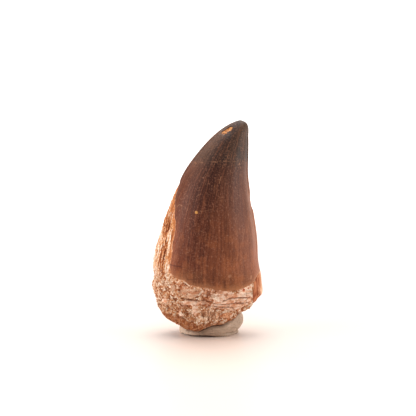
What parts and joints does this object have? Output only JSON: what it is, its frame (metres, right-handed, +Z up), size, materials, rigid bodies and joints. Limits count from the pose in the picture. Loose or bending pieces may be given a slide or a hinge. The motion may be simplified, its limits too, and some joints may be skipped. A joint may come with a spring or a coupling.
{
  "type": "fossil mosasaur tooth",
  "caption": "Stout curved fossil reptile tooth with a smooth keeled crown and a broken rough root, standing upright in a pressed lump of grey putty with a flat foot.",
  "frame": {"origin": "middle of the putty's flat underside, on the surface that the object stands on", "axes": "+Z up along the tooth, +X to the right of someone who faces the broad front, where the tip leans, +Y from the front to the back"},
  "size_m": [0.0274, 0.0194, 0.0537],
  "materials": {
    "fossil_tooth": "satin dark red-brown enamel; matte pale orange and pinkish bone on the root and the left flank",
    "grey_putty": "matte warm grey"
  },
  "bodies": {
    "root": {"tooth": "fossil_tooth", "putty": "grey_putty"}
  },
  "joints": []
}
